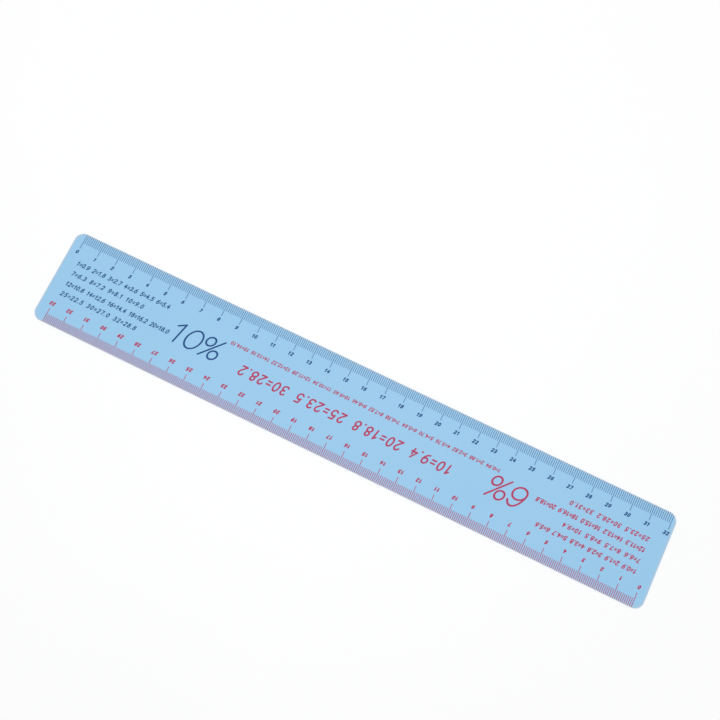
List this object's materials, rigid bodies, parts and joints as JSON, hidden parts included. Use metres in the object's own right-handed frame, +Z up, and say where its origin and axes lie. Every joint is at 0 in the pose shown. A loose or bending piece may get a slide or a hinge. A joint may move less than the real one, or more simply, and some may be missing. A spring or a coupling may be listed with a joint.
{
  "type": "shrinkage ruler",
  "caption": "Thin flat plastic potter's ruler with rounded corners and a stretched centimetre scale along each long edge, for clays that shrink by ten or six percent.",
  "frame": {"origin": "middle of the strip's underside, on the surface that it lies on", "axes": "+X along the strip, the way the ten percent scale reads; +Y across it, towards the ten percent edge; +Z up out of the printed face"},
  "size_m": [0.3632, 0.0544, 0.0009],
  "materials": {
    "sheet": "satin pale blue",
    "navy_ink": "satin dark blue screen print",
    "crimson_ink": "satin crimson screen print"
  },
  "bodies": {
    "root": {"strip": "sheet", "ten_figure_one": "navy_ink", "ten_figure_zero": "navy_ink", "ten_percent_upper_ring": "navy_ink", "ten_percent_lower_ring": "navy_ink", "ten_percent_slash": "navy_ink", "six_figure_six": "crimson_ink", "six_percent_upper_ring": "crimson_ink", "six_percent_lower_ring": "crimson_ink", "six_percent_slash": "crimson_ink"}
  },
  "joints": []
}
